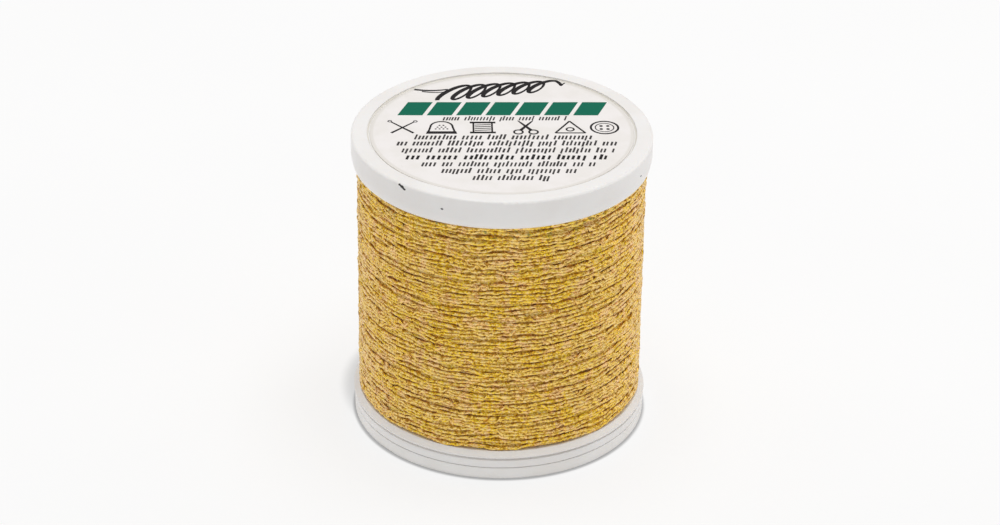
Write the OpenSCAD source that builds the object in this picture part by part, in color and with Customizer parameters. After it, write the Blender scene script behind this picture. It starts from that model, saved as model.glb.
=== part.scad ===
// Spool of metallic sewing thread: a round moulded spool with a snap-open thread lock in its foot.
// The frame is millimetres, +Z up along the spool's axis, origin at the centre of the foot's plane.

/* [Overall] */
// Diameter of the flanges
spool_d = 34; // [29:0.5:44]
// Height from the foot to the top rim
spool_h = 35.65; // [28:0.05:60]

/* [Upper flange] */
// Height of the upper flange, from its inner face to the top rim
upper_flange_h = 3.55; // [3.3:0.05:6]
// Thickness of the web that closes the winding space
web_t = 1.2; // [0.8:0.1:1.4]
// Radial width of the flat top rim
rim_w = 1.8; // [1:0.1:2.6]
// Radius of the rim's outer top edge
rim_round = 0.3; // [0.1:0.05:0.8]
// Height of the side's lower stretch, which curves inwards
side_curve_h = 1.5; // [0.5:0.1:2.4]
// How far the side has curved inwards at its lower edge
side_curve_in = 0.3; // [0.1:0.05:0.6]
// Chamfer between the curved side and the inner face
inner_edge = 0.2; // [0.1:0.05:0.3]
// Depth of the recess that the top label lies in
recess_depth = 0.25; // [0.2:0.05:0.6]
// Length of the collar that plugs into the barrel
plug_l = 3.1; // [1.5:0.1:6]
// Wall of the collar that plugs into the barrel
plug_wall = 1.1; // [0.8:0.1:1.4]
// Length of the sleeve that guides the spindle tube
guide_l = 6; // [3:0.5:10]
// Wall of the sleeve that guides the spindle tube
guide_wall = 1.1; // [0.8:0.1:1.4]

/* [Top cap] */
// Thickness of the cap plate
cap_t = 1.2; // [0.8:0.1:1.4]
// Radial width of the ledge that carries the cap plate
cap_ledge_w = 0.8; // [0.5:0.1:1.2]
// How much wider in radius than the bore the hole in the cap is, under the label
cap_hole_gap = 0.4; // [0.2:0.1:1]
// Radial width of the ring that stands the cap on the web
cap_ring_w = 1; // [0.6:0.1:1.4]
// Number of stiffening ribs under the cap
cap_ribs = 6; // [3:1:10]
// Thickness of a stiffening rib
cap_rib_t = 0.8; // [0.5:0.1:1.2]

/* [Barrel and lower flange] */
// Outer diameter of the barrel under the thread
barrel_d = 24; // [20:0.5:25]
// Wall of the barrel
barrel_wall = 1.2; // [0.9:0.1:1.6]
// Height of the lower flange, from its underside to its inner face
lower_flange_h = 1.9; // [1.7:0.05:3]
// Height of the bevel that the thread slides over
bevel_h = 0.47; // [0.3:0.01:0.6]
// Height of the sharp lip under the bevel
lip_h = 0.14; // [0.05:0.01:0.2]
// How far the band under the lip stands back
band_in = 0.1; // [0.05:0.01:0.25]
// How far the groove under the lip is cut into the band
groove_in = 0.3; // [0.1:0.05:0.5]
// Height of the groove under the lip
groove_h = 0.35; // [0.2:0.05:0.6]

/* [Snap base] */
// Height of the base plate
base_h = 1.5; // [1.3:0.05:2.5]
// How far the base stands back from the flanges
base_in = 0.1; // [0.05:0.01:0.25]
// Depth of the recess under the base, which leaves a foot ring
foot_recess = 0.3; // [0.2:0.05:0.4]
// Radial width of the foot ring
foot_w = 1.5; // [0.8:0.1:2.5]
// Radius of the base's outer bottom edge
foot_round = 0.3; // [0.1:0.05:0.5]
// Height of the socket that holds the spindle tube
socket_h = 3.5; // [2:0.1:6]
// Wall of the socket that holds the spindle tube
socket_wall = 1.1; // [0.8:0.1:1.3]

/* [Thread lock] */
// How far the spool lifts off its base to free the thread
lock_travel = 1.5; // [0.8:0.1:3]
// Gap between the lower flange and the base while shut
lock_gap = 0.06; // [0.05:0.01:0.2]
// Chamfer on both edges of that gap
gap_edge = 0.06; // [0.05:0.01:0.2]
// Number of snap hooks
hooks = 3; // [2:1:4]
// Angle that each hook spans
hook_angle = 70; // [40:1:80]
// Radial thickness of a hook
hook_t = 1; // [0.7:0.1:1.2]
// How far a hook's barb reaches out over the ledge
barb_w = 0.6; // [0.4:0.05:0.7]
// Height of a barb
barb_h = 1.1; // [0.8:0.1:2]
// Height of the underside of the ledge over the lower flange's underside
ledge_z = 1.8; // [1:0.1:4]
// Height of the ledge inside the barrel
ledge_h = 1; // [0.6:0.1:1.6]
// Radial width of the ledge inside the barrel
ledge_w = 0.8; // [0.8:0.05:1]
// Width of the key ribs that stop the base turning
key_w = 1.2; // [0.8:0.1:2]
// Radial width of the ring that presses the thread end
tongue_w = 0.7; // [0.4:0.05:1]
// Height of that ring
tongue_h = 0.5; // [0.3:0.05:0.6]
// Distance from the flange's edge to the middle of that ring
tongue_in = 2.3; // [2:0.1:3]

/* [Spindle] */
// Diameter of the bore for the machine's spool pin
bore_d = 8; // [6:0.1:10]
// Wall of the spindle tube
spindle_wall = 1.2; // [0.8:0.1:1.4]
// Lead-in chamfer at the mouth of the bore
bore_lead = 0.4; // [0.2:0.05:0.6]
// Distance from the top of the spindle tube to the top of the web
spindle_top_gap = 0.3; // [0.2:0.05:0.8]

/* [Thread] */
// How far the winding stays inside the flanges' edge
winding_in = 0.62; // [0.55:0.01:2]
// Diameter of the thread
thread_d = 0.4; // [0.2:0.02:0.45]
// Length of the thread end inside the lock
tail_hold_l = 3; // [2.6:0.1:4]

/* [Labels] */
// Thickness of both paper labels
label_t = 0.12; // [0.08:0.01:0.15]
// Gap between the top label's edge and the recess wall
top_label_gap = 0.3; // [0.1:0.05:1]
// Gap between the base label and the edges of the foot recess
base_label_gap = 0.4; // [0.2:0.05:1]

/* [Clearances] */
// Radial running clearance between spindle tube and guide sleeve
guide_clear = 0.08; // [0.05:0.01:0.1]
// Radial clearance of the cap plate inside the rim
cap_clear = 0.05; // [0.02:0.01:0.1]
// Clearance between the snap base's moving features and the barrel
hook_clear = 0.15; // [0.1:0.01:0.2]
// Clearance between a fully lifted ledge and the hooks' barbs
stop_clear = 0.05; // [0.02:0.01:0.1]
// Clearance around the thread end in its notch
thread_clear = 0.05; // [0.03:0.01:0.08]

/* [Hidden] */
$fn = 96;
cut = 1;            // how far a cutter runs past what it cuts

spool_r = spool_d / 2;
bore_r = bore_d / 2;
spindle_r = bore_r + spindle_wall;
guide_r = spindle_r + guide_clear;
barrel_r = barrel_d / 2;
barrel_in_r = barrel_r - barrel_wall;
winding_r = spool_r - winding_in;
recess_r = spool_r - rim_w;
base_r = spool_r - base_in;
foot_in_r = base_r - foot_round - foot_w;           // inner edge of the foot ring

flange_z0 = base_h + lock_gap;                      // underside of the lower flange
winding_z0 = flange_z0 + lower_flange_h;            // inner face of the lower flange
winding_z1 = spool_h - upper_flange_h;              // inner face of the upper flange
web_z1 = winding_z1 + web_t;
cap_z1 = spool_h - recess_depth;
cap_z0 = cap_z1 - cap_t;
cap_ring_r = guide_r + guide_wall;                  // the cap's ring stands over the guide sleeve
spindle_z1 = web_z1 - spindle_top_gap;

ledge_z0 = flange_z0 + ledge_z;
ledge_z1 = ledge_z0 + ledge_h;
ledge_r = barrel_in_r - ledge_w;
hook_r = ledge_r - hook_clear;                      // outer face of a hook's stem
barb_z0 = ledge_z1 + lock_travel + stop_clear;
tongue_r = spool_r - tongue_in;

notch_w = thread_d + 2 * thread_clear + 0.2;        // the thread lies loosely across the notch
notch_r = spool_r - thread_d - 3 * thread_clear;    // floor of the notch in the flange's edge
slot_h = thread_d + 3 * thread_clear;               // height of the slot under the flange
tail_angle = 90;                                    // the thread end is at the back
tail_r = notch_r + thread_clear + thread_d / 2;     // the thread end's middle, in the notch
tail_lay_r = winding_r + thread_clear + thread_d / 2;
tail_z0 = flange_z0 + thread_clear + thread_d / 2;  // the thread end's middle, in the slot

// Route of the thread end: angle from the notch, radius, height.
tail_route = [
    [9.0, tail_lay_r, winding_z0 + 0.80],
    [6.0, tail_lay_r, winding_z0 + 0.72],
    [3.4, tail_lay_r, winding_z0 + 0.58],
    [1.6, tail_lay_r, winding_z0 + 0.38],
    [0.5, tail_r - 0.02, winding_z0 + 0.10],
    [0.0, tail_r, winding_z0 - 0.25],
    [0.0, tail_r, tail_z0 + 0.60],
    [0.0, tail_r - 0.07, tail_z0 + 0.25],
    [0.0, tail_r - 0.30, tail_z0 + 0.04],
    [0.0, tail_r - 0.70, tail_z0],
    [0.0, spool_r - tail_hold_l, tail_z0]
];
tail_sides = 8;

WHITE = [0.95, 0.945, 0.935];
PAPER = [0.96, 0.94, 0.935];
GOLD = [0.82, 0.64, 0.33];

// A rectangle in the radius-height plane.
module band(r0, r1, z0, z1) {
    translate([r0, z0]) square([r1 - r0, z1 - z0]);
}

// What rounds off an outer top corner whose round has its centre at the origin.
module edge_cutter(radius) {
    difference() {
        square(radius + cut);
        circle(r = radius);
    }
}

// Keeps what lies inside a wedge of the given angle, centred on the given direction.
module wedge(direction, angle, reach, z0, z1) {
    rotate([0, 0, direction]) translate([0, 0, z0]) linear_extrude(z1 - z0)
        polygon([
            [0, 0],
            [reach, -reach * tan(angle / 2)],
            [reach, reach * tan(angle / 2)]
        ]);
}

function hook_direction(i) = 30 + i * 360 / hooks;

// Barrel with the lower flange moulded on, the hooks' ledge and the key ribs.
module spool_body() {
    color(WHITE) difference() {
        union() {
            rotate_extrude() difference() {
                union() {
                    band(barrel_in_r, barrel_r, flange_z0, winding_z1);
                    lower_flange_outline();
                    band(ledge_r, barrel_in_r + barrel_wall / 2, ledge_z0, ledge_z1);
                }
                band(
                    tongue_r - tongue_w / 2 - hook_clear, tongue_r + tongue_w / 2 + hook_clear,
                    flange_z0 - cut, base_h + tongue_h + hook_clear
                );
            }
            for (i = [0 : hooks - 1]) key_rib(hook_direction(i));
        }
        thread_notch();
    }
}

module lower_flange_outline() {
    lip_z1 = winding_z0 - bevel_h;
    lip_z0 = lip_z1 - lip_h;
    polygon([
        [barrel_in_r, flange_z0],
        [spool_r - band_in - gap_edge, flange_z0],
        [spool_r - band_in, flange_z0 + gap_edge],
        [spool_r - band_in, lip_z0 - groove_h],
        [spool_r - band_in - groove_in, lip_z0 - groove_h],
        [spool_r - band_in - groove_in, lip_z0],
        [spool_r, lip_z0],
        [spool_r, lip_z1],
        [winding_r, winding_z0],
        [barrel_in_r, winding_z0]
    ]);
}

// A key rib runs in the slot of one hook.
module key_rib(direction) {
    reach_in = hook_t + hook_clear;
    rotate([0, 0, direction])
        translate([ledge_r - reach_in, -key_w / 2, flange_z0])
            cube([reach_in + ledge_w + barrel_wall / 2, key_w, ledge_z1 - flange_z0]);
}

// The notch in the flange's edge and the slot under it, which the thread end lies in.
module thread_notch() {
    rotate([0, 0, tail_angle]) {
        translate([notch_r, -notch_w / 2, flange_z0 - cut])
            cube([spool_r - notch_r + cut, notch_w, lower_flange_h + 2 * cut]);
        translate([spool_r - tail_hold_l - thread_d, -notch_w / 2, flange_z0 - cut])
            cube([tail_hold_l + thread_d + cut, notch_w, slot_h + cut]);
    }
}

// Cup-shaped flange with the top rim, a collar that plugs into the barrel and the spindle's guide sleeve.
module upper_flange() {
    color(WHITE) rotate_extrude() difference() {
        union() {
            band(guide_r, spool_r, winding_z1, web_z1);
            band(recess_r - cap_ledge_w, spool_r, winding_z1, cap_z0);
            band(recess_r, spool_r, winding_z1, spool_h);
            band(barrel_in_r - plug_wall, barrel_in_r, winding_z1 - plug_l, web_z1);
            band(guide_r, guide_r + guide_wall, winding_z1 - guide_l, web_z1);
        }
        translate([spool_r - rim_round, spool_h - rim_round]) edge_cutter(rim_round);
        side_curve_cutter();
        polygon([
            [spool_r - side_curve_in - inner_edge, winding_z1],
            [spool_r + cut, winding_z1 + inner_edge + cut + side_curve_in],
            [spool_r + cut, winding_z1 - cut],
            [spool_r - side_curve_in - inner_edge, winding_z1 - cut]
        ]);
    }
}

// The side's lower stretch follows one large arc that starts upright.
module side_curve_cutter() {
    arc_r = (side_curve_h * side_curve_h + side_curve_in * side_curve_in) / (2 * side_curve_in);
    arc_z = winding_z1 + side_curve_h;
    difference() {
        band(spool_r - side_curve_in - inner_edge, spool_r + cut, winding_z1 - cut, arc_z);
        translate([spool_r - arc_r, arc_z]) circle(r = arc_r);
    }
}

// Plate that closes the upper flange and carries the label, with a standing ring and ribs beneath.
module top_cap() {
    plate_r = recess_r - cap_clear;
    rib_r0 = cap_ring_r + cap_ring_w / 2;
    rib_r1 = recess_r - cap_ledge_w - cap_clear;
    color(WHITE) union() {
        rotate_extrude() {
            band(bore_r + cap_hole_gap, plate_r, cap_z0, cap_z1);
            band(cap_ring_r, cap_ring_r + cap_ring_w, web_z1, cap_z0);
        }
        for (i = [0 : cap_ribs - 1])
            rotate([0, 0, i * 360 / cap_ribs])
                translate([rib_r0, -cap_rib_t / 2, web_z1 + cap_clear])
                    cube([rib_r1 - rib_r0, cap_rib_t, cap_z0 - web_z1]);
    }
}

// Printed paper disc; it covers the hole in the cap.
module top_label() {
    color(PAPER) translate([0, 0, cap_z1]) cylinder(r = recess_r - top_label_gap, h = label_t);
}

// Base plate with its foot ring, the spindle's socket, the thread-pressing ring and the snap hooks.
module snap_base() {
    color(WHITE) union() {
        difference() {
            rotate_extrude() difference() {
                union() {
                    band(spindle_r, base_r, 0, base_h);
                    band(spindle_r, spindle_r + socket_wall, 0, base_h + socket_h);
                    band(tongue_r - tongue_w / 2, tongue_r + tongue_w / 2, 0, base_h + tongue_h);
                }
                band(0, foot_in_r, -cut, foot_recess);
                translate([base_r - foot_round, foot_round]) mirror([0, 1]) edge_cutter(foot_round);
                polygon([
                    [base_r - gap_edge, base_h],
                    [base_r + cut, base_h - gap_edge - cut],
                    [base_r + cut, base_h + cut],
                    [base_r - gap_edge, base_h + cut]
                ]);
            }
            tongue_gap();
        }
        for (i = [0 : hooks - 1]) snap_hook(hook_direction(i));
    }
}

// The pressing ring leaves room for the thread end.
module tongue_gap() {
    rotate([0, 0, tail_angle])
        translate([tongue_r - tongue_w, -notch_w, base_h])
            cube([2 * tongue_w, 2 * notch_w, tongue_h + cut]);
}

module snap_hook(direction) {
    slot_w = key_w + 2 * hook_clear;
    barb_z1 = barb_z0 + barb_h;
    difference() {
        intersection() {
            rotate_extrude() polygon([
                [hook_r - hook_t, base_h - foot_recess],
                [hook_r, base_h - foot_recess],
                [hook_r, barb_z0],
                [ledge_r + barb_w - hook_clear, barb_z0],
                [hook_r - hook_t / 2, barb_z1],
                [hook_r - hook_t, barb_z1]
            ]);
            wedge(direction, hook_angle, barrel_r, 0, barb_z1);
        }
        rotate([0, 0, direction])
            translate([0, -slot_w / 2, base_h])
                cube([barrel_r, slot_w, barb_z1]);
    }
}

// Tube that the machine's spool pin goes into, pressed into the base's socket.
module spindle_tube() {
    color(WHITE) rotate_extrude() polygon([
        [bore_r + bore_lead, foot_recess],
        [spindle_r, foot_recess],
        [spindle_r, spindle_z1],
        [bore_r, spindle_z1],
        [bore_r, foot_recess + bore_lead]
    ]);
}

// Paper ring under the base.
module base_label() {
    color(PAPER) rotate_extrude()
        band(
            spindle_r + base_label_gap, foot_in_r - base_label_gap,
            foot_recess - label_t, foot_recess
        );
}

// The wound thread, as one plain ring around the barrel.
module thread_winding() {
    color(GOLD) rotate_extrude() band(barrel_r, winding_r, winding_z0, winding_z1);
}

function route_point(p) = [
    p[1] * cos(tail_angle + p[0]), p[1] * sin(tail_angle + p[0]), p[2]
];
function unit(v) = v / norm(v);
function tangent(points, i) =
    unit(points[min(i + 1, len(points) - 1)] - points[max(i - 1, 0)]);

// The thread's free end, from the winding down through the notch into the lock.
module thread_tail() {
    points = [for (p = tail_route) route_point(p)];
    rings = len(points);
    lean = [1, -1, 1];
    vertices = [
        for (i = [0 : rings - 1])
            let (t = tangent(points, i), a = unit(cross(t, lean)), b = cross(t, a))
                for (k = [0 : tail_sides - 1])
                    points[i] + thread_d / 2 * (cos(k * 360 / tail_sides) * a
                        + sin(k * 360 / tail_sides) * b)
    ];
    walls = [
        for (i = [0 : rings - 2], k = [0 : tail_sides - 1])
            let (n = (k + 1) % tail_sides, low = i * tail_sides, high = low + tail_sides)
                [low + k, high + k, high + n, low + n]
    ];
    start = [for (k = [0 : tail_sides - 1]) k];
    end = [for (k = [tail_sides - 1 : -1 : 0]) (rings - 1) * tail_sides + k];
    color(GOLD) polyhedron(vertices, concat(walls, [start, end]));
}

spool_body();
upper_flange();
top_cap();
top_label();
snap_base();
spindle_tube();
base_label();
thread_winding();
thread_tail();
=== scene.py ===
"""The looks of the spool of thread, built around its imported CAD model.

Lengths are in millimetres where a name says so or MM stands beside them; Blender works in metres.
"""

import math

import bpy
import numpy as np
from mathutils import Matrix, Vector


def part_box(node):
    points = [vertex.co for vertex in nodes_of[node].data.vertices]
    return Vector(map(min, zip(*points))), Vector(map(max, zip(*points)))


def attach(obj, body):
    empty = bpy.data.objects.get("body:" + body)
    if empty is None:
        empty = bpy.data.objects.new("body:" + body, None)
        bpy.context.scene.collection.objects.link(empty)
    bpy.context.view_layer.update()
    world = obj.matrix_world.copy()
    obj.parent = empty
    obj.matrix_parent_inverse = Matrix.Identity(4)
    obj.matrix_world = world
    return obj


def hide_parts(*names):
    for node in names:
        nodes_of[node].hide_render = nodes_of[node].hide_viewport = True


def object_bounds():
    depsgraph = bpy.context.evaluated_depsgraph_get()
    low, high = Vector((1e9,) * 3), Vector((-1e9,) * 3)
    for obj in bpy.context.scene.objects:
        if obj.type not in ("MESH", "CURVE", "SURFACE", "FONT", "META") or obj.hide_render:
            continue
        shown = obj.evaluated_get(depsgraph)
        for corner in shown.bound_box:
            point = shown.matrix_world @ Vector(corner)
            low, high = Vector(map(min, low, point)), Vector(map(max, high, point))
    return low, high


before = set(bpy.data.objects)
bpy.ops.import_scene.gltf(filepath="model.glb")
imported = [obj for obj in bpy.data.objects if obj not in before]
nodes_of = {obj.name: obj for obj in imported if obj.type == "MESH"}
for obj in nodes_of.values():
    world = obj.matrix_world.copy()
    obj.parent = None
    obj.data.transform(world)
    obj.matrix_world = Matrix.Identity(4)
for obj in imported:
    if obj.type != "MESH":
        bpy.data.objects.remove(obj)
cad_low, cad_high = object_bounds()

MM = 0.001
SEED = 7

winding_low, winding_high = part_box("thread_winding")
label_low, label_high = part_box("top_label")
base_label_low, base_label_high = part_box("base_label")
spool_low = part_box("spool_body")[0]
flange_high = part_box("upper_flange")[1]
cap_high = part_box("top_cap")[1]
foot_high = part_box("snap_base")[1]

WIND_R = winding_high.x / MM
WIND_Z0 = winding_low.z / MM
WIND_Z1 = winding_high.z / MM
FLANGE_R = flange_high.x / MM
FLANGE_TOP = flange_high.z / MM
CAP_R = cap_high.x / MM
FOOT_R = foot_high.x / MM
LABEL_R = label_high.x / MM
LABEL_Z0 = label_low.z / MM
LABEL_Z1 = label_high.z / MM
BASE_LABEL_R = base_label_high.x / MM
BASE_HOLE_R = 5.6


# ---------------------------------------------------------------- camera

CAMERA_TILT = math.radians(29.3168)
CAMERA_ROLL = math.radians(0.7191)
CAMERA_AWAY = 354.72 * MM
SENSOR_MM = 36
LENS_MM = 110.77
LENS_SHIFT = (-0.0003, 0.0068)
LOOK_AT = Vector((0, 0, cad_high.z / 2))


def make_camera():
    data = bpy.data.cameras.new("camera")
    data.sensor_width = SENSOR_MM
    data.lens = LENS_MM
    data.shift_x, data.shift_y = LENS_SHIFT
    data.clip_start = 0.01
    data.clip_end = 20
    cam = bpy.data.objects.new("camera", data)
    bpy.context.scene.collection.objects.link(cam)
    back = Vector((0, -math.cos(CAMERA_TILT), math.sin(CAMERA_TILT)))
    facing = (-back).to_track_quat("-Z", "Y").to_matrix()
    turned = facing @ Matrix.Rotation(CAMERA_ROLL, 3, "Z")
    cam.matrix_world = Matrix.Translation(LOOK_AT + back * CAMERA_AWAY) @ turned.to_4x4()
    bpy.context.scene.camera = cam


make_camera()


# ---------------------------------------------------------------- mesh helpers


def mesh_object(name, points, faces, body, material, smooth=True):
    """A mesh from an array of points in millimetres and a list of faces, riding on a body."""
    data = bpy.data.meshes.new(name)
    sizes = np.array([len(f) for f in faces])
    starts = np.concatenate(([0], np.cumsum(sizes)[:-1]))
    loops = np.concatenate([np.asarray(f) for f in faces])
    data.vertices.add(len(points))
    data.vertices.foreach_set("co", (np.asarray(points, float) * MM).astype(np.float32).ravel())
    data.loops.add(len(loops))
    data.loops.foreach_set("vertex_index", loops.astype(np.int32))
    data.polygons.add(len(sizes))
    data.polygons.foreach_set("loop_start", starts.astype(np.int32))
    data.polygons.foreach_set("use_smooth", np.full(len(sizes), smooth))
    data.update(calc_edges=True)
    data.validate()
    obj = bpy.data.objects.new(name, data)
    bpy.context.scene.collection.objects.link(obj)
    obj.data.materials.append(material)
    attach(obj, body)
    return obj


def ring_faces(rings, sides, closed=False):
    """Quads between rings of points; closed joins the last ring to the first."""
    last = rings if closed else rings - 1
    i = np.arange(last)[:, None]
    j = np.arange(sides)[None, :]
    a = i * sides + j
    b = i * sides + (j + 1) % sides
    c = ((i + 1) % rings) * sides + (j + 1) % sides
    d = ((i + 1) % rings) * sides + j
    return np.stack([a, b, c, d], axis=-1).reshape(-1, 4)


def circle(radius, angles, height):
    """Points round the axis at the given angles; radius and height may change from one to the next."""
    return np.stack([radius * np.cos(angles), radius * np.sin(angles), height + 0 * angles], -1)


def set_uv(obj, name, values):
    """A UV map from one pair of numbers per corner."""
    layer = obj.data.uv_layers.new(name=name)
    layer.data.foreach_set("uv", np.asarray(values, np.float32).ravel())


# ---------------------------------------------------------------- node helpers


class Shader:
    """A material's node tree, with short calls for the nodes used here."""

    def __init__(self, name):
        self.material = bpy.data.materials.new(name)
        self.material.use_nodes = True
        self.tree = self.material.node_tree
        self.bsdf = self.tree.nodes["Principled BSDF"]

    def node(self, kind, settings=None, **inputs):
        made = self.tree.nodes.new(kind)
        for key, value in (settings or {}).items():
            setattr(made, key, value)
        for key, value in inputs.items():
            self.put(made.inputs[key.replace("_", " ")], value)
        return made

    def put(self, socket, value):
        if isinstance(value, bpy.types.NodeSocket):
            self.tree.links.new(value, socket)
        else:
            socket.default_value = value

    def coords(self):
        """Place in the shared frame, in millimetres."""
        place = self.node("ShaderNodeTexCoord").outputs["Object"]
        made = self.node("ShaderNodeVectorMath", {"operation": "SCALE"})
        self.put(made.inputs[0], place)
        made.inputs["Scale"].default_value = 1 / MM
        return made.outputs[0]

    def stretch(self, vector, factors):
        """A vector times one factor for each axis."""
        made = self.node("ShaderNodeVectorMath", {"operation": "MULTIPLY"})
        self.put(made.inputs[0], vector)
        made.inputs[1].default_value = factors
        return made.outputs[0]

    def noise(self, vector, scale, detail=2.0, rough=0.5, distortion=0.0):
        made = self.node("ShaderNodeTexNoise", Vector=vector, Scale=scale, Detail=detail,
                         Roughness=rough, Distortion=distortion)
        return made.outputs["Fac"]

    def ramp(self, factor, low, high, from_low=0.0, from_high=1.0):
        """factor taken smoothly from one range to another and held there."""
        made = self.node("ShaderNodeMapRange", {"interpolation_type": "SMOOTHSTEP"})
        self.put(made.inputs["Value"], factor)
        made.inputs["From Min"].default_value = from_low
        made.inputs["From Max"].default_value = from_high
        made.inputs["To Min"].default_value = low
        made.inputs["To Max"].default_value = high
        return made.outputs["Result"]

    def math(self, operation, *values):
        made = self.node("ShaderNodeMath", {"operation": operation})
        for socket, value in zip(made.inputs, values):
            self.put(socket, value)
        return made.outputs[0]

    def mix(self, factor, a, b):
        """Colour a where factor is 0, and b where it is 1."""
        made = self.node("ShaderNodeMix", {"data_type": "RGBA", "blend_type": "MIX"})
        self.put(made.inputs["Factor"], factor)
        self.put(made.inputs["A"], a)
        self.put(made.inputs["B"], b)
        return made.outputs["Result"]

    def distance(self, vector, place):
        """How far a vector is from a fixed place."""
        made = self.node("ShaderNodeVectorMath", {"operation": "DISTANCE"})
        self.put(made.inputs[0], vector)
        made.inputs[1].default_value = place
        return made.outputs["Value"]

    def bump(self, height, distance_mm, strength=1.0):
        made = self.node("ShaderNodeBump", Height=height, Strength=strength)
        made.inputs["Distance"].default_value = distance_mm * MM
        return made.outputs["Normal"]

    def set(self, **inputs):
        for key, value in inputs.items():
            self.put(self.bsdf.inputs[key.replace("_", " ")], value)


def tone(red, green, blue):
    """A colour given in sRGB, 0 to 255, as the linear colour that nodes take."""
    def linear(v):
        v = v / 255
        return v / 12.92 if v <= 0.04045 else ((v + 0.055) / 1.055) ** 2.4
    return (linear(red), linear(green), linear(blue), 1.0)


# ---------------------------------------------------------------- materials


SCUFF_SQUASH = 1.7


def scuff_share(s, at, spot, size):
    """1 inside a scuff with a ragged edge, wider than it is tall, and 0 away from it."""
    wobble = s.node("ShaderNodeTexNoise", Vector=at, Scale=3.5, Detail=2.0)
    shift = s.node("ShaderNodeVectorMath", {"operation": "MULTIPLY_ADD"})
    s.put(shift.inputs[0], wobble.outputs["Color"])
    shift.inputs[1].default_value = (size, size, size)
    shift.inputs[2].default_value = (-size / 2,) * 3
    ragged = s.node("ShaderNodeVectorMath", {"operation": "ADD"})
    s.put(ragged.inputs[0], at)
    s.put(ragged.inputs[1], shift.outputs[0])
    squashed = s.stretch(ragged.outputs[0], (1, 1, SCUFF_SQUASH))
    away = s.distance(squashed, (spot[0], spot[1], spot[2] * SCUFF_SQUASH))
    return s.ramp(away, 1, 0, size * 0.55, size * 0.9)


def plastic(name, light, shade, scuffs=()):
    """White moulded plastic: faint cloudiness, flow lines, handling marks, and scuffs at given places."""
    s = Shader(name)
    at = s.coords()
    cloud = s.noise(at, 0.16, 3, 0.55)
    fine = s.noise(at, 2.2, 4, 0.6)
    base = s.mix(s.ramp(cloud, 0, 1, 0.35, 0.65), light, shade)
    grime = s.ramp(s.noise(s.stretch(at, (1, 1, 2.2)), 0.9, 5, 0.7), 0, 0.35, 0.62, 0.8)
    base = s.mix(grime, base, tone(222, 216, 208))
    for spot, size, colour in scuffs:
        base = s.mix(scuff_share(s, at, spot, size), base, colour)
    rough = s.ramp(s.noise(at, 0.7, 4, 0.6), 0.3, 0.46)
    s.set(Base_Color=base, Roughness=rough, Specular_IOR_Level=0.45, Subsurface_Weight=0.08,
          Subsurface_Radius=(0.6 * MM, 0.5 * MM, 0.4 * MM), Subsurface_Scale=1.0)
    height = s.math("ADD", s.math("MULTIPLY", fine, 0.5), s.noise(s.stretch(at, (1, 1, 6)), 0.8, 2, 0.5))
    s.set(Normal=s.bump(height, 0.02, 0.5))
    return s.material


def paper(name, light, shade):
    """Smooth label paper: short fibres, faint mottling, and a darker margin that is painted shade of the
    recess round the label.
    """
    s = Shader(name)
    at = s.coords()
    fibres = s.noise(s.stretch(at, (1, 2.4, 1)), 5.0, 5, 0.65, 0.6)
    mottle = s.noise(at, 0.35, 3, 0.5)
    base = s.mix(s.ramp(mottle, 0, 1, 0.35, 0.7), light, shade)
    base = s.mix(s.ramp(fibres, 0, 0.25, 0.55, 0.8), base, tone(226, 221, 212))
    from_axis = s.node("ShaderNodeVectorMath", {"operation": "LENGTH"}, Vector=s.stretch(at, (1, 1, 0)))
    # painted shade: the paper's margin is darkened to stand for the shaded recess round the label
    margin_painted_shade = s.ramp(from_axis.outputs["Value"], 0, 0.9, LABEL_R - 0.55, LABEL_R - 0.25)
    base = s.mix(margin_painted_shade, base, tone(231, 227, 221))
    s.set(Base_Color=base, Roughness=s.ramp(fibres, 0.5, 0.68), Specular_IOR_Level=0.35,
          Normal=s.bump(s.math("ADD", fibres, s.noise(at, 14.0, 2, 0.5)), 0.012, 0.5))
    return s.material


def ink(name, colour, faded):
    """Printed ink: a little uneven, with pinholes where it misses the paper's low spots."""
    s = Shader(name)
    at = s.coords()
    press = s.noise(at, 3.0, 4, 0.7)
    base = s.mix(s.ramp(press, 0, 0.6, 0.56, 0.8), colour, faded)
    s.set(Base_Color=base, Roughness=s.ramp(press, 0.5, 0.7), Specular_IOR_Level=0.15,
          Normal=s.bump(s.noise(at, 9.0, 3, 0.6), 0.006, 0.5))
    return s.material


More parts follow.
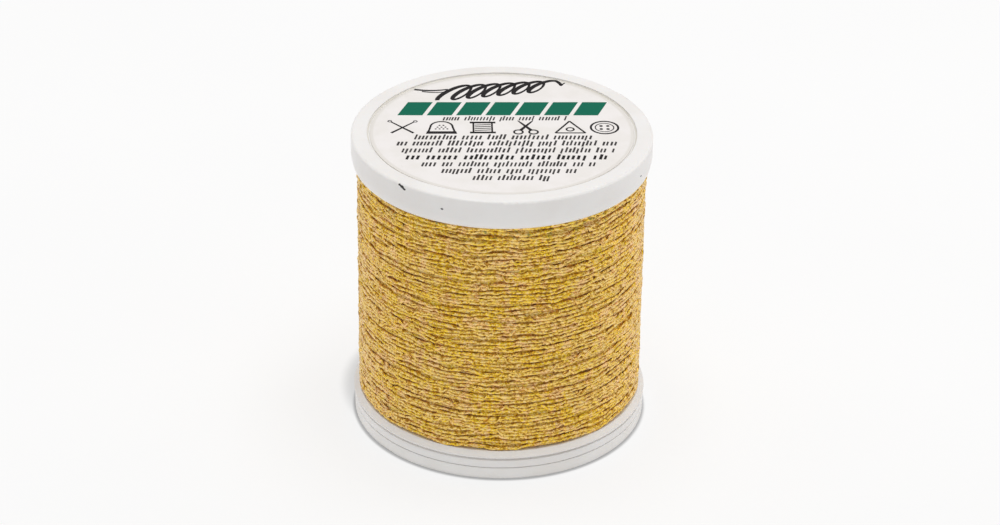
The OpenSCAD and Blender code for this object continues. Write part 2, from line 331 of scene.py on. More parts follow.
def thread_material(name, dark=1.0):
    """Metallic film thread: patches of yellow gold, tan and peach, with fine wraps across the strand. Its
    bright and dark dashes are partly painted highlights and painted shade, its top rows get painted dark
    glints, and dark below 1 paints shade into every colour.
    """
    s = Shader(name)
    at = s.coords()
    strand = s.node("ShaderNodeUVMap", {"uv_map": "Strand"}).outputs["UV"]
    along = s.stretch(strand, (1.0, 0.9, 1.0))
    streak = s.noise(along, 2.6, 3, 0.62)
    dash = s.noise(s.stretch(strand, (1.0, 1.1, 1.0)), 2.5, 1, 0.5, 0.6)
    fleck = s.noise(along, 3.6, 2, 0.5)
    patch = s.noise(along, 0.8, 2, 0.5)
    broad = s.noise(at, 0.30, 2, 0.5)
    mid = s.noise(at, 0.65, 3, 0.6)

    # dark scales every colour; below 1 it paints shade into the buried layers
    def metal(red, green, blue):
        return (red * dark, green * dark, blue * dark, 1)

    base = s.mix(s.ramp(broad, 0, 1, 0.42, 0.60), metal(1.0, 0.65, 0.02), metal(1.0, 0.67, 0.14))
    base = s.mix(s.ramp(mid, 0, 0.8, 0.51, 0.62), base, metal(1.0, 0.60, 0.28))
    base = s.mix(s.ramp(patch, 0, 0.85, 0.52, 0.66), base, metal(0.96, 0.68, 0.01))
    # painted highlights and painted shade: the bright streaks and dashes stand partly for highlights, and the
    # dark streaks, dashes and flecks partly for shade in the creases, over the film's own uneven colour
    base = s.mix(s.ramp(streak, 0, 0.8, 0.5, 0.66), base, metal(1.0, 0.78, 0.30))
    base = s.mix(s.ramp(streak, 0.85, 0, 0.30, 0.46), base, metal(0.62, 0.30, 0.01))
    base = s.mix(s.ramp(dash, 0, 0.7, 0.54, 0.64), base, metal(1.0, 0.75, 0.34))
    base = s.mix(s.ramp(dash, 0.9, 0, 0.37, 0.47), base, metal(0.50, 0.24, 0.005))
    base = s.mix(s.ramp(fleck, 0, 0.85, 0.66, 0.76), base, metal(0.36, 0.17, 0.09))
    orange = s.noise(s.stretch(along, (0.7, 1, 1)), 1.9, 1, 0.5)
    base = s.mix(s.ramp(orange, 0, 0.6, 0.68, 0.78), base, metal(0.98, 0.42, 0.05))
    # painted reflection and shade: dark green glints in the top rows, under the upper flange
    height_mm = s.node("ShaderNodeSeparateXYZ", Vector=at).outputs["Z"]
    near_top = s.ramp(height_mm, 0, 1, WIND_Z1 - 2.6, WIND_Z1 - 0.6)
    painted_glint_share = s.math("MULTIPLY", near_top, s.ramp(s.noise(at, 1.6, 3, 0.6), 0, 0.7, 0.56, 0.68))
    base = s.mix(painted_glint_share, base, metal(0.20, 0.26, 0.08))

    wraps = s.node("ShaderNodeTexWave", {"wave_type": "BANDS", "bands_direction": "DIAGONAL"},
                   Vector=s.stretch(strand, (1.7, 1.0, 1.0)), Scale=0.9, Distortion=3.0, Detail=1.0)
    film = s.noise(along, 2.6, 2, 0.5)
    height = s.math("ADD", wraps.outputs["Fac"], s.math("MULTIPLY", film, 1.8))
    s.set(Base_Color=base, Metallic=0.74, Roughness=s.ramp(film, 0.26, 0.5, 0.3, 0.7),
          Coat_Weight=0.15, Coat_Roughness=0.3, Coat_IOR=1.5,
          Sheen_Weight=0.55, Sheen_Roughness=0.35, Sheen_Tint=(1.0, 0.82, 0.78, 1),
          Normal=s.bump(height, 0.03, 1.0))
    return s.material


def scuff_place(angle_deg, inset, drop):
    """A place on the upper flange: inset from its side and drop below its top, in millimetres."""
    a = math.radians(angle_deg)
    return ((FLANGE_R - inset) * math.cos(a), (FLANGE_R - inset) * math.sin(a), FLANGE_TOP - drop)


SCUFFS = [
    (scuff_place(-130.4, 0.06, 0.21), 0.34, tone(26, 24, 24)),
    (scuff_place(-129.4, 0.02, 0.35), 0.40, tone(26, 24, 24)),
    (scuff_place(-128.5, 0, 0.49), 0.34, tone(30, 27, 27)),
    (scuff_place(-112.1, 0, 1.60), 0.22, tone(70, 66, 72)),
    (scuff_place(-24.7, 0, 1.75), 0.24, tone(66, 72, 88)),
]

white_plastic = plastic("white_plastic", tone(247, 245, 243), tone(243, 240, 237), SCUFFS)
base_plastic = plastic("base_plastic", tone(247, 245, 242), tone(242, 239, 235))
# painted shade: the weld's tones are darker and yellower than the white plastic, standing for the shade in
# the seam round the label
weld_plastic_painted_shade = plastic("weld_plastic_painted_shade", tone(234, 230, 221), tone(229, 224, 213))
label_paper = paper("label_paper", tone(245, 241, 239), tone(240, 236, 232))
green_ink = ink("green_ink", tone(0, 106, 82), tone(16, 122, 96))
dark_ink = ink("dark_ink", tone(34, 31, 32), tone(72, 68, 68))
grey_ink = ink("grey_ink", tone(62, 59, 59), tone(104, 100, 98))
metallic_thread = thread_material("metallic_thread")
# the layers under the outermost one: the same colours darkened, as painted shade in the gaps between turns
buried_thread_painted_shade = thread_material("buried_thread_painted_shade", dark=0.9)

for node, material in (
    ("spool_body", white_plastic), ("upper_flange", white_plastic), ("top_cap", white_plastic),
    ("snap_base", base_plastic), ("spindle_tube", base_plastic),
):
    obj = nodes_of[node]
    obj.data.materials.clear()
    obj.data.materials.append(material)


# ---------------------------------------------------------------- the wound thread

THREAD_D = 0.48
PITCH = 0.485
TWIST_MM = 2.9
START_ANGLE = math.radians(99)

# the section: how far it is pressed flat, how deep its lobes are, how square it is
FLAT = 0.76
LOBE = 0.55
SQUARE = 2.5

# the mesh: millimetres along the thread from ring to ring, sides, pieces and the bake map's margin
STEP = 0.15
SIDES = 10
PIECES = 4
BAKE_EDGE = 0.002

# the lay: pairs of spread and length, in millimetres, of its wandering up and down
WANDER = ((0.035, 0.6), (0.08, 1.3), (0.17, 3.5), (0.10, 9.0))
RADIUS_WANDER = (0.03, 1.0)

# stretches that ride on a neighbouring turn, in millimetres
RIDES = 700
RIDE_LENGTH = (0.6, 2.6)
RIDE_SHIFT = (0.12, 0.32)
RIDE_LIFT = 0.06

# how turns that lie too close push each other apart, pass after pass
PASSES = 24
CLOSEST = THREAD_D * 0.8
PUSH = 0.35
SETTLE = 0.06
RADIUS_PLAY = 0.1

# the strand's own unevenness: pairs of spread and length in millimetres
PHASE_WANDER = (1.2, 1.6)
SWELL = ((0.06, 2.2), (0.03, 0.5))
ROW_OFFSET = 3.7


def smooth_noise(rng, count, length):
    """Gaussian noise along a line, of unit spread, with the given correlation length in samples."""
    raw = rng.standard_normal(count)
    freq = np.fft.rfftfreq(count)
    kept = np.fft.rfft(raw) * np.exp(-0.5 * (freq * length * math.pi) ** 2)
    out = np.fft.irfft(kept, count)
    return out / out.std()


def even_out(values):
    """Evens out neighbouring samples along the thread, as its tension does."""
    values[1:-1] = (values[:-2] + 2 * values[1:-1] + values[2:]) / 4


def add_rides(rng, height, radius):
    """Shifts short stretches up or down and out, so that they ride on a neighbour."""
    per_mm = 1 / STEP
    count = len(height)
    k = np.arange(count)
    for _ in range(RIDES):
        length = rng.uniform(*RIDE_LENGTH) * per_mm
        place = rng.integers(0, count)
        first, last = max(0, int(place - 2.5 * length)), min(count, int(place + 2.5 * length))
        reach = np.exp(-(((k[first:last] - place) / length) ** 4))
        height[first:last] += reach * rng.choice([-1, 1]) * rng.uniform(*RIDE_SHIFT)
        radius[first:last] += reach * RIDE_LIFT


def push_apart(height, radius, steps):
    """Moves each sample and the one a turn later apart, where they lie closer than threads can."""
    dz = height[steps:] - height[:-steps]
    dr = radius[steps:] - radius[:-steps]
    gap = np.hypot(dz, dr / FLAT) + 1e-9
    push = np.clip(CLOSEST - gap, 0, None) * PUSH
    away_z, away_r = dz / gap, dr / gap
    height[steps:] += push * away_z
    height[:-steps] -= push * away_z
    radius[steps:] += push * away_r
    radius[:-steps] -= push * away_r


def lay_thread(rng):
    """Angle, radius and height of the thread's middle, sample by sample, over the outermost layer."""
    middle_r = WIND_R - THREAD_D * FLAT / 2
    steps = int(round(2 * math.pi * middle_r / STEP))
    low, high = WIND_Z0 + THREAD_D * 0.42, WIND_Z1 - THREAD_D * 0.42
    turns = int((high - low) / PITCH)
    count = turns * steps + 1
    k = np.arange(count)
    pitch = (high - low) / turns
    per_mm = 1 / STEP
    height = low + pitch * k / steps
    for spread, length in WANDER:
        height += spread * smooth_noise(rng, count, length * per_mm)
    spread, length = RADIUS_WANDER
    radius = np.full(count, middle_r) + spread * smooth_noise(rng, count, length * per_mm)
    add_rides(rng, height, radius)
    for step in range(PASSES):
        push_apart(height, radius, steps)
        radius += (middle_r - radius) * SETTLE
        radius = np.clip(radius, middle_r - RADIUS_PLAY, middle_r + RADIUS_PLAY)
        if step % 3 == 0:
            even_out(height)
            even_out(radius)
        height = np.clip(height, low, high)
    angle = START_ANGLE + 2 * math.pi * k / steps
    return angle, radius, height


def strand_section(phase, scale):
    """Radius round the strand for each sample: two plies side by side, turned by the twist."""
    around = np.linspace(0, 2 * math.pi, SIDES, endpoint=False)
    ply = THREAD_D / 2 / (1 + LOBE)
    turned = around[None, :] - phase[:, None]
    radial = ply * (LOBE * np.abs(np.cos(turned)) + np.sqrt(1 - (LOBE * np.sin(turned)) ** 2))
    pressed = (np.abs(np.cos(around)) ** SQUARE + np.abs(np.sin(around)) ** SQUARE) ** (-1 / SQUARE)
    return around, radial * scale[:, None] * pressed[None, :]


def quad_corners(u0, u1, v0, v1):
    """The map's four corners for each side quad, in the order of its vertices."""
    return np.stack([np.stack([u0, v0], -1), np.stack([u0, v1], -1),
                     np.stack([u1, v1], -1), np.stack([u1, v0], -1)], 1)[:, ::-1, :]


def strand_uv(length_mm, sides):
    """Millimetres along the strand against the way round it, with each turn set off from the one before."""
    i = np.repeat(np.arange(len(length_mm) - 1), sides)
    j = np.tile(np.arange(sides), len(length_mm) - 1)
    corners = quad_corners(length_mm[i], length_mm[i + 1], j / sides, (j + 1) / sides)
    row = np.floor(length_mm / (2 * math.pi * WIND_R))
    corners[..., 1] += (row[i] * ROW_OFFSET)[:, None]
    ends = [np.tile([end, 0.5], (sides, 1)) for end in (length_mm[0], length_mm[-1])]
    return np.concatenate([corners.reshape(-1, 2), *ends])


def bake_uv(length_mm, sides):
    """A map without overlaps: one strip for each turn, divided by the strand's sides."""
    i = np.repeat(np.arange(len(length_mm) - 1), sides)
    j = np.tile(np.arange(sides), len(length_mm) - 1)
    turn = (length_mm - length_mm[0]) / (2 * math.pi * WIND_R)
    strips = int(turn[-1]) + 1
    strip = np.floor(turn[i] + 1e-9)
    own = np.clip(turn[i] - strip, 0, 1)
    ahead = np.clip(own + (turn[i + 1] - turn[i]), 0, 1)
    wide = 1 - 2 * BAKE_EDGE
    v0 = BAKE_EDGE + wide * (strip + j / sides) / strips
    v1 = BAKE_EDGE + wide * (strip + (j + 1) / sides) / strips
    corners = quad_corners(BAKE_EDGE + wide * own, BAKE_EDGE + wide * ahead, v0, v1)
    ends = np.tile(corners[:1, 0], (2 * sides, 1))
    return np.concatenate([corners.reshape(-1, 2), ends])


def strand_piece(name, middle, out, up, length_mm, phase, scale, material, flat=FLAT):
    """A twisted strand along a line of middle points; out and up span its cross-section."""
    around, radial = strand_section(phase, scale)
    points = (middle[:, None, :]
              + radial[:, :, None] * (flat * np.cos(around)[None, :, None] * out[:, None, :]
                                      + np.sin(around)[None, :, None] * up[:, None, :]))
    rings, sides = points.shape[:2]
    quads = ring_faces(rings, sides)[:, ::-1]
    caps = [list(range(sides)), [(rings - 1) * sides + j for j in range(sides)][::-1]]
    obj = mesh_object(name, points.reshape(-1, 3), [*quads, *caps], "spool", material)
    set_uv(obj, "Strand", strand_uv(length_mm, sides))
    set_uv(obj, "OFBake", bake_uv(length_mm, sides))
    return obj


def wind():
    """The outermost layer of the winding, cut into pieces of about the same length."""
    rng = np.random.default_rng(SEED)
    angle, radius, height = lay_thread(rng)
    count = len(angle)
    length = np.arange(count) * STEP
    spread, reach = PHASE_WANDER
    phase = 2 * math.pi * length / TWIST_MM + spread * smooth_noise(rng, count, reach / STEP)
    scale = np.ones(count)
    for spread, reach in SWELL:
        scale += spread * smooth_noise(rng, count, reach / STEP)
    out = circle(1.0, angle, 0.0)
    up = np.tile([0.0, 0.0, 1.0], (count, 1))
    middle = circle(radius, angle, height)
    cuts = np.linspace(0, count - 1, PIECES + 1).astype(int)
    made = []
    for number, (first, last) in enumerate(zip(cuts[:-1], cuts[1:]), start=1):
        part = slice(first, last + 1)
        made.append(strand_piece(f"thread_rows_{number}", middle[part], out[part], up[part],
                                 length[part], phase[part], scale[part], metallic_thread))
    return made


INNER_AROUND = 360
INNER_PER_ROW = 4
INNER_ROW_MM = 0.52
INNER_TWIST_MM = 0.75
BARREL_R = 12.1


def inner_surface(rng):
    """The rows' outer faces, ring by ring from the bottom up."""
    bottom, top = WIND_Z0 + 0.03, WIND_Z1 - 0.03
    ridges = int((top - bottom) / INNER_ROW_MM)
    angle = np.linspace(0, 2 * math.pi, INNER_AROUND, endpoint=False)
    base_r = WIND_R - THREAD_D * FLAT * 0.8
    level = np.linspace(0, ridges, ridges * INNER_PER_ROW + 1)
    each = range(ridges + 2)
    sway = np.array([smooth_noise(rng, INNER_AROUND, 8) for _ in each])
    lift = np.array([smooth_noise(rng, INNER_AROUND, 3) for _ in each])
    lobes = np.array([rng.uniform(0, 2 * math.pi) + 9 * smooth_noise(rng, INNER_AROUND, 40) for _ in each])
    row = np.floor(level).astype(int)
    z = bottom + (top - bottom) * level[:, None] / ridges + 0.07 * sway[row]
    z[0], z[-1] = bottom, top
    twists = round(2 * math.pi * base_r / INNER_TWIST_MM)
    twist = np.cos(twists * angle[None, :] + lobes[row] + 4 * level[:, None])
    ridge = -0.10 * np.cos(2 * math.pi * level)[:, None]
    radius = base_r + ridge + 0.025 * lift[row] + 0.035 * twist * (np.sin(math.pi * level) ** 2)[:, None]
    radius[0], radius[-1] = base_r - 0.1, base_r - 0.1
    bore = np.array([circle(BARREL_R, angle, h) for h in (top, bottom)])
    return np.concatenate([circle(radius, angle, z), bore])


def inner_package():
    """The layers under the outermost one: a body from the barrel out, ridged like rows."""
    points = inner_surface(np.random.default_rng(SEED + 1))
    rings = len(points)
    faces = ring_faces(rings, INNER_AROUND, closed=True)
    obj = mesh_object("thread_inner_layers", points.reshape(-1, 3), list(faces), "spool",
                      buried_thread_painted_shade)
    i, j = np.divmod(np.arange(len(faces)), INNER_AROUND)
    ahead = 2 * math.pi * WIND_R / INNER_AROUND
    corners = ((0, 0), (0, 1), (1, 1), (1, 0))
    strand = [np.stack([(j + dj) * ahead, (i + di) / INNER_PER_ROW], -1) for di, dj in corners]
    packed = [np.stack([(j + dj) / INNER_AROUND, (i + di) / rings], -1) for di, dj in corners]
    set_uv(obj, "Strand", np.stack(strand, 1))
    set_uv(obj, "OFBake", BAKE_EDGE + (1 - 2 * BAKE_EDGE) * np.stack(packed, 1))
    return obj


rows = wind()
inner_package()
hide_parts("thread_winding")


# ---------------------------------------------------------------- the thread's end

NOTCH_ANGLE = 90
TAIL_D = 0.4
TAIL_STEP = 0.08
TAIL_LAY_R = 16.63
TAIL_R = 16.70
TAIL_Z = spool_low.z / MM + 0.25

# degrees from the notch, radius and height, from the winding down into the lock
TAIL_ROUTE = [
    (34.0, WIND_R - 0.22, WIND_Z0 + 1.02), (26.0, WIND_R - 0.12, WIND_Z0 + 0.98),
    (18.0, WIND_R + 0.08, WIND_Z0 + 0.92), (13.0, TAIL_LAY_R - 0.02, WIND_Z0 + 0.86),
    (9.0, TAIL_LAY_R, WIND_Z0 + 0.80), (6.0, TAIL_LAY_R, WIND_Z0 + 0.72), (3.4, TAIL_LAY_R, WIND_Z0 + 0.58),
    (1.6, TAIL_LAY_R, WIND_Z0 + 0.38), (0.5, TAIL_R - 0.02, WIND_Z0 + 0.10), (0.0, TAIL_R, WIND_Z0 - 0.25),
    (0.0, TAIL_R, TAIL_Z + 0.60), (0.0, TAIL_R - 0.07, TAIL_Z + 0.25), (0.0, TAIL_R - 0.30, TAIL_Z + 0.04),
    (0.0, TAIL_R - 0.70, TAIL_Z), (0.0, FLANGE_R - 3, TAIL_Z),
]


def curve_through(points, step):
    """A smooth line through points, sampled about every step."""
    p = np.asarray(points, float)
    p = np.vstack([2 * p[0] - p[1], p, 2 * p[-1] - p[-2]])
    line = []
    for a, b, c, d in zip(p[:-3], p[1:-2], p[2:-1], p[3:]):
        samples = max(2, int(np.linalg.norm(c - b) / step))
        for t in np.arange(samples) / samples:
            line.append(0.5 * (2 * b + (c - a) * t + (2 * a - 5 * b + 4 * c - d) * t ** 2
                               + (3 * b - a - 3 * c + d) * t ** 3))
    return np.array(line + [p[-2]])


def tail():
    """The thread's end, from the winding down through the notch and into the lock."""
    route = [(r * math.cos(math.radians(NOTCH_ANGLE + a)), r * math.sin(math.radians(NOTCH_ANGLE + a)), z)
             for a, r, z in TAIL_ROUTE]
    middle = curve_through(route, TAIL_STEP)
    along = np.gradient(middle, axis=0)
    along /= np.linalg.norm(along, axis=1)[:, None]
    up = np.array([0.0, 0.0, 1.0])
    ups = []
    for direction in along:
        up = up - direction * (up @ direction)
        up = up / np.linalg.norm(up)
        ups.append(up)
    ups = np.array(ups)
    out = np.cross(ups, along)
    length = np.concatenate([[0], np.cumsum(np.linalg.norm(np.diff(middle, axis=0), axis=1))])
    phase = 2 * math.pi * length / TWIST_MM
    scale = np.full(len(length), TAIL_D / THREAD_D)
    obj = strand_piece("thread_end", middle, out, ups, length, phase, scale, metallic_thread, flat=1.0)
    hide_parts("thread_tail")


tail()


# ---------------------------------------------------------------- the weld between cap and rim


WELD_SIDES = 240
WELD_WAVE = 0.015
# outward from the cap's edge, up from its top, and how much of the waviness moves the point
WELD_PROFILE = (
    (0.055, 0.0, 0), (0.055, 0.14, 0.6), (0.01, 0.095, 1),
    (-0.05, 0.065, 1), (-0.12, 0.04, 1), (-0.17, 0.0, 0),
)


def weld_ring():
    """The bead of adhesive that fills the seam between the top cap and the rim of the upper flange; its
    darker, yellower tone is painted shade of the seam.
    """
    rng = np.random.default_rng(SEED + 3)
    angle = np.linspace(0, 2 * math.pi, WELD_SIDES, endpoint=False)
    low = cap_high.z / MM - 0.02
    slow = np.exp(-0.5 * (np.arange(WELD_SIDES // 2 + 1) / 14) ** 2)
    wavy = np.fft.irfft(np.fft.rfft(rng.standard_normal(WELD_SIDES)) * slow, WELD_SIDES)
    wavy = WELD_WAVE * wavy / wavy.std()
    rings = [circle(CAP_R + r + wavy * (moves == 1), angle, low + z + wavy * moves)
             for r, z, moves in WELD_PROFILE]
    faces = ring_faces(len(rings), WELD_SIDES, closed=True)
    mesh_object("cap_weld", np.concatenate(rings), list(faces), "spool", weld_plastic_painted_shade)


weld_ring()


# ---------------------------------------------------------------- labels and their print

LABEL_TURN = math.radians(1.6)


def paper_wave(x, y):
    """How far the paper stands off its seat, in millimetres."""
    return 0.010 * np.sin(x * 0.31 + 0.8) * np.cos(y * 0.27 - 0.4) + 0.006 * np.sin(x * 0.73 - y * 0.58)


def paper_disc(name, radius, z_seat, z_face, node, material, hole=None):
    """A label: a thin disc or ring with a softened edge, lying on z_seat with its printed face at z_face."""
    sides = 144
    way = 1 if z_face > z_seat else -1
    edge = 0.03 * way
    angle = np.linspace(0, 2 * math.pi, sides, endpoint=False)
    first = hole if hole else 0.3
    rings = [circle(r, angle, z_seat) for r in (first, radius - 0.02)]
    inmost = first + (0.03 if hole else 0)
    face_r = [radius, radius - 0.03, *np.linspace(radius - 0.12, first + 0.12, 14), inmost]
    edge_drops = {0: edge, 1: edge * 0.3}
    for number, r in enumerate(face_r):
        ring = circle(r, angle, z_face)
        if number in edge_drops:
            ring[:, 2] -= edge_drops[number]
        else:
            ring[:, 2] += paper_wave(ring[:, 0], ring[:, 1])
        rings.append(ring)
    count = len(rings)
    faces = list(ring_faces(count, sides, closed=bool(hole)))
    if not hole:
        faces.append(list(range(sides))[::-1])
        faces.append([(count - 1) * sides + j for j in range(sides)])
    if way < 0:
        faces = [list(f)[::-1] for f in faces]
    body = "spool" if way > 0 else "base"
    obj = mesh_object(name, np.concatenate(rings), faces, body, material)
    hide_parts(node)


class Print:
    """Flat printed shapes on a label, each a thin closed prism that follows the paper."""

    SUNK = 0.02

    def __init__(self, face, way, turn=0.0, film=0.012):
        self.points, self.faces = [], []
        self.face, self.way, self.turn, self.film = face, way, turn, film

    def place(self, outline):
        c, s = math.cos(self.turn), math.sin(self.turn)
        o = np.asarray(outline, float)
        x, y = o[:, 0] * c - o[:, 1] * s, o[:, 0] * s + o[:, 1] * c
        z = self.face + paper_wave(x, y)
        low = np.stack([x, y, z - self.SUNK * self.way], -1)
        high = np.stack([x, y, z + self.film * self.way], -1)
        return low, high

    def add(self, points, faces):
        first = len(self.points)
        self.points.extend(points)
        if self.way < 0:
            faces = [list(f)[::-1] for f in faces]
        self.faces.extend([[v + first for v in f] for f in faces])

    def shape(self, outline):
        """A filled shape; its outline runs anticlockwise."""
        low, high = self.place(outline)
        n = len(low)
        sides = [[j, (j + 1) % n, n + (j + 1) % n, n + j] for j in range(n)]
        self.add([*low, *high], [list(range(n))[::-1], list(range(n, 2 * n)), *sides])

    def stroke(self, path, width, closed=False):
        """A line of ink; width may change from point to point."""
        p = np.asarray(path, float)
        w = np.broadcast_to(np.asarray(width, float), (len(p),))[:, None] / 2
        if closed:
            d = np.roll(p, -1, 0) - np.roll(p, 1, 0)
        else:
            d = np.gradient(p, axis=0)
        d /= np.linalg.norm(d, axis=1)[:, None] + 1e-12
        side = np.stack([-d[:, 1], d[:, 0]], -1)
        left_low, left_high = self.place(p + side * w)
        right_low, right_high = self.place(p - side * w)
        n = len(p)
        faces = []
        for j in range(n if closed else n - 1):
            k = (j + 1) % n
            faces += [[j, k, n + k, n + j], [3 * n + k, 2 * n + k, 2 * n + j, 3 * n + j]]
            faces += [[2 * n + j, 2 * n + k, k, j], [3 * n + k, 3 * n + j, n + j, n + k]]
        if not closed:
            faces += [[n, 3 * n, 2 * n, 0], [3 * n - 1, 4 * n - 1, 2 * n - 1, n - 1]]
        self.add([*left_low, *right_low, *left_high, *right_high], faces)

    def ring(self, x, y, radius, width, count=40):
        a = np.linspace(0, 2 * math.pi, count, endpoint=False)
        self.stroke(np.stack([x + radius * np.cos(a), y + radius * np.sin(a)], -1), width, closed=True)

    def dot(self, x, y, radius, count=24):
        a = np.linspace(0, 2 * math.pi, count, endpoint=False)
        self.shape(np.stack([x + radius * np.cos(a), y + radius * np.sin(a)], -1))

    def line(self, x0, y0, x1, y1, width):
        self.stroke([(x0, y0), ((x0 + x1) / 2, (y0 + y1) / 2), (x1, y1)], width)

    def make(self, name, body, material):
        return mesh_object(name, self.points, self.faces, body, material, smooth=False)


def stitch_row(ink_lines, rng, y, half, centre, tall, width):
    """A row of short printed stitches in groups, some of them longer."""
    lean = 0.22
    x = centre - half
    end = centre + half
    while x < end:
        for _ in range(rng.integers(3, 12)):
            if x > end:
                break
            top = tall * (1.32 if rng.random() < 0.24 else 1.0)
            foot = -0.3 * tall if rng.random() < 0.08 else 0.0
            ink_lines.line(x + lean * foot, y + foot, x + lean * top, y + top, width * rng.uniform(0.9, 1.15))
            x += width * rng.uniform(1.75, 2.3)
        x += tall * 0.55


def flourish(dark):
    """A loose thread in slanting loops, drawn in from the left and running out to the right."""
    loops, apart = 6.6, 1.72
    t = np.linspace(0.35, loops * 2 * math.pi, 560)
    part = t / t[-1]
    middle = 9.9 + 1.9 * part
    x = -5.9 + apart * t / (2 * math.pi) - 0.92 * np.sin(t)
    y = middle - (1.95 - 0.5 * part) * np.cos(t)
    x = x + 0.62 * (y - middle)
    width = 0.26 + 0.34 * np.abs(np.sin(t / 2 + 0.7)) ** 1.5
    dark.stroke(np.stack([x, y], -1), width)
    s = np.linspace(0, 1, 40)
    dark.stroke(np.stack([-9.9 + 3.9 * s, 10.9 - 0.3 * np.sin(math.pi * s)], -1), 0.36 - 0.1 * s)
    dark.stroke(np.stack([-9.0 + 3.2 * s, 10.35 - 0.25 * np.sin(math.pi * s)], -1), 0.22 - 0.08 * s)
    u = np.linspace(0, 1, 24)[:, None]
    start, pull = np.array([x[-1], y[-1]]), np.array([x[-1] - x[-2], y[-1] - y[-2]])
    pull = pull / np.linalg.norm(pull) * 1.3
    end, lead = np.array([7.6, 12.7]), np.array([0.9, 1.1])
    leave = ((1 - u) ** 3 * start + 3 * (1 - u) ** 2 * u * (start + pull)
             + 3 * (1 - u) * u ** 2 * (end - lead) + u ** 3 * end)
    dark.stroke(leave, width[-1] * (1 - u[:, 0]) ** 0.5 + 0.07)


def twisted_band(green):
    """A bold printed cord: one slanting lozenge after another."""
    low, high, pitch, lean = 4.25, 7.6, 3.33, 1.2
    first_x, blocks = -11.8, 7
    wide, tall = pitch - 0.5, high - low
    for number in range(blocks):
        x = first_x + pitch * number
        green.shape([(x, low), (x + wide, low), (x + wide + 0.25 * lean, low + 0.25 * tall),
                     (x + wide + lean, high), (x + lean, high), (x + 0.75 * lean, high - 0.25 * tall)])


def icon_crossed_needles(dark, x, y):
    for way in (-1, 1):
        s = np.linspace(-1, 1, 9)
        dark.stroke(np.stack([x + way * 1.25 * s, y + 1.35 * s], -1), 0.24 - 0.06 * s)
        dark.ring(x + way * 1.45, y + 1.56, 0.2, 0.12, 16)


def icon_thimble(dark, x, y):
    s = np.linspace(0, math.pi, 24)
    dome = np.stack([x + 1.25 * np.cos(s), y + 0.2 + 1.3 * np.sin(s)], -1)
    dark.stroke(np.concatenate([[(x + 1.5, y - 1.2)], dome, [(x - 1.5, y - 1.2)]]), 0.22)
    dark.shape([(x - 1.75, y - 1.55), (x + 1.75, y - 1.55), (x + 1.65, y - 0.95), (x - 1.65, y - 0.95)])
    for row in range(3):
        for col in range(4 - row):
            dark.dot(x - 0.66 + 0.22 * row + 0.44 * col, y - 0.35 + 0.45 * row, 0.12, 10)


def icon_spool(dark, x, y):
    for way in (-1, 1):
        dark.shape([(x - 1.45, y + way * 1.25 - 0.2), (x + 1.45, y + way * 1.25 - 0.2),
                    (x + 1.45, y + way * 1.25 + 0.2), (x - 1.45, y + way * 1.25 + 0.2)])
    for way in (-1, 1):
        dark.line(x + way * 1.05, y - 1.05, x + way * 1.05, y + 1.05, 0.2)
    for row in range(4):
        dark.line(x - 0.9, y - 0.75 + 0.45 * row, x + 0.9, y - 0.6 + 0.45 * row, 0.16)


def icon_scissors(dark, x, y):
    for way in (-1, 1):
        dark.ring(x + way * 0.85, y - 1.15, 0.5, 0.22, 24)
        s = np.linspace(0, 1, 9)
        blade = np.stack([x + way * (0.62 - 1.5 * s), y - 0.75 + 2.5 * s], -1)
        dark.stroke(blade, 0.34 * (1 - s) ** 0.5 + 0.06)


def icon_ruler(dark, x, y):
    corners = [(x - 1.7, y - 1.35), (x + 1.7, y - 1.35), (x, y + 1.6)]
    for a, b in zip(corners, corners[1:] + corners[:1]):
        dark.line(*a, *b, 0.22)
    dark.ring(x, y - 0.45, 0.42, 0.2, 20)


def icon_button(dark, x, y):
    dark.ring(x, y, 1.55, 0.24, 40)
    dark.ring(x, y, 1.05, 0.12, 32)
    for dx in (-0.38, 0.38):
        for dy in (-0.38, 0.38):
            dark.dot(x + dx, y + dy, 0.2, 12)


# the pictures' middles across the label, and their height on it
PICTURE_X = (-11.2, -6.8, -2.15, 2.7, 7.7, 11.6)
PICTURE_Y = 1.15
# each row of stitches: height, half its width, its middle, and the stroke
STITCH_ROWS = (
    (-1.70, 10.1, 0.3, 0.22), (-3.2, 12.2, 0.45, 0.22), (-4.9, 11.7, 0.5, 0.22), (-6.6, 11.2, 0.5, 0.29),
    (-8.25, 9.6, 0.6, 0.21), (-9.85, 7.4, 0.6, 0.22), (-11.5, 4.1, 0.7, 0.22),
)
BOLD = 0.25


def top_print():
    rng = np.random.default_rng(SEED + 2)
    green = Print(LABEL_Z1, 1, LABEL_TURN)
    dark = Print(LABEL_Z1, 1, LABEL_TURN, film=0.016)
    grey = Print(LABEL_Z1, 1, LABEL_TURN)
    flourish(dark)
    twisted_band(green)
    icons = (icon_crossed_needles, icon_thimble, icon_spool, icon_scissors, icon_ruler, icon_button)
    for icon, x in zip(icons, PICTURE_X):
        icon(dark, x, PICTURE_Y)
    stitch_row(grey, rng, 2.95, 6.9, 0.3, 0.82, 0.17)
    for y, half, centre, width in STITCH_ROWS:
        stitch_row(dark if width > BOLD else grey, rng, y - 0.1, half, centre, 0.92, width)
    green.make("print_cord_band", "spool", green_ink)
    dark.make("print_pictures", "spool", dark_ink)
    grey.make("print_stitch_rows", "spool", grey_ink)


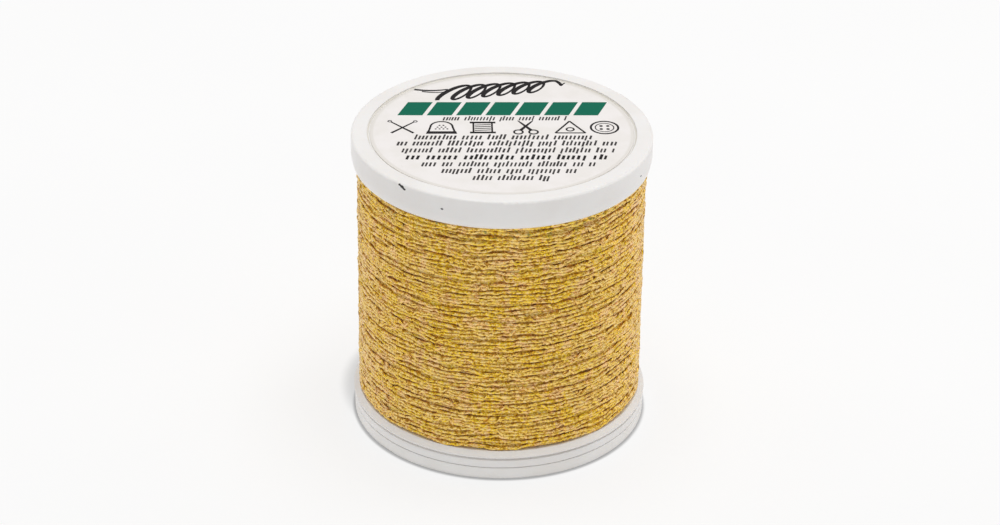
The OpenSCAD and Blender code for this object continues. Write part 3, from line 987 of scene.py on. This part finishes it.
def base_print():
    face = base_label_low.z / MM
    rings = Print(face, -1)
    rings.ring(0, 0, BASE_LABEL_R - 0.9, 0.3, 120)
    rings.ring(0, 0, BASE_HOLE_R + 0.9, 0.3, 80)
    rings.make("print_base_rings", "base", green_ink)
    pictures = Print(face, -1)
    ticks, lean = 48, 0.05
    near, far = BASE_LABEL_R - 2.4, BASE_LABEL_R - 1.6
    for number in range(ticks):
        a = 2 * math.pi * number / ticks
        b = a + lean
        pictures.line(near * math.cos(a), near * math.sin(a), far * math.cos(b), far * math.sin(b), 0.22)
    for number, icon in enumerate((icon_button, icon_spool, icon_thimble, icon_scissors)):
        a = math.pi / 4 + math.pi / 2 * number
        icon(pictures, 9.6 * math.cos(a), 9.6 * math.sin(a))
    pictures.make("print_base_pictures", "base", dark_ink)


paper_disc("label_top", LABEL_R, LABEL_Z0, LABEL_Z1, "top_label", label_paper)
paper_disc("label_base", BASE_LABEL_R, base_label_high.z / MM, base_label_low.z / MM, "base_label",
           label_paper, hole=BASE_HOLE_R)
top_print()
base_print()


# ---------------------------------------------------------------- floor and light

FLOOR_GLOW = 0.69
FLOOR_HALF = 1500 * MM
FLOOR_Z = -0.01 * MM
# where the floor glows less, a painted contact shadow round the foot and a painted faint shadow behind it:
# middle, start, end, least
FLOOR_SHADES = (
    ((0, 0, 0), FOOT_R, FOOT_R + 0.45, 0.38),
    ((-2.0, 4.3, 0), FLANGE_R - 1.6, FLANGE_R + 0.3, 0.66),
)


def floor_material():
    s = Shader("floor")
    at = s.coords()
    base = s.mix(s.noise(at, 0.02, 2, 0.5), (0.30, 0.30, 0.30, 1), (0.28, 0.28, 0.28, 1))
    # painted shadows: the floor's glow is turned down round the foot and behind it
    painted_shadow_shares = [s.ramp(s.distance(s.stretch(at, (1, 1, 0)), middle), least, 1, start, end)
              for middle, start, end, least in FLOOR_SHADES]
    glow_with_painted_shadows = s.math("MULTIPLY", *painted_shadow_shares)
    s.set(Base_Color=base, Roughness=0.6, Specular_IOR_Level=0.0,
          Emission_Color=(1, 1, 1, 1), Emission_Strength=s.math("MULTIPLY", glow_with_painted_shadows, FLOOR_GLOW),
          Normal=s.bump(s.noise(at, 1.5, 2, 0.5), 0.01, 0.2))
    return s.material


def make_floor():
    corners = [(x * FLOOR_HALF, y * FLOOR_HALF, FLOOR_Z) for x, y in ((-1, -1), (1, -1), (1, 1), (-1, 1))]
    data = bpy.data.meshes.new("floor")
    data.from_pydata(corners, [], [(0, 1, 2, 3)])
    floor = bpy.data.objects.new("floor", data)
    floor.data.materials.append(floor_material())
    bpy.context.scene.collection.objects.link(floor)


WORLD_STRENGTH = 0.43
WARM = (1.0, 0.90, 0.86)
AIM = (0, 0, 15 * MM)
# name, place and size in metres, power and colour
LIGHTS = (
    ("overhead", (0.05, 0.0, 0.75), (0.5, 0.5), 3.05, (1, 1, 1)),
    ("right", (0.48, 0.26, 0.20), (0.25, 0.35), 0.40, WARM),
    ("left", (-0.48, 0.26, 0.20), (0.25, 0.35), 0.30, WARM),
)


def area_light(name, place, size, power, colour):
    data = bpy.data.lights.new(name, "AREA")
    data.shape = "RECTANGLE"
    data.size, data.size_y = size
    data.energy = power
    data.color = colour
    obj = bpy.data.objects.new(name, data)
    bpy.context.scene.collection.objects.link(obj)
    obj.location = place
    obj.rotation_mode = "QUATERNION"
    obj.rotation_quaternion = (Vector(AIM) - Vector(place)).to_track_quat("-Z", "Y")


def make_light():
    world = bpy.data.worlds.new("studio")
    world.use_nodes = True
    background = world.node_tree.nodes["Background"]
    background.inputs["Color"].default_value = (1.0, 1.0, 1.0, 1)
    background.inputs["Strength"].default_value = WORLD_STRENGTH
    bpy.context.scene.world = world
    for light in LIGHTS:
        area_light(*light)


make_floor()
make_light()
bpy.context.scene.view_settings.view_transform = "Standard"
bpy.context.scene.view_settings.look = "None"
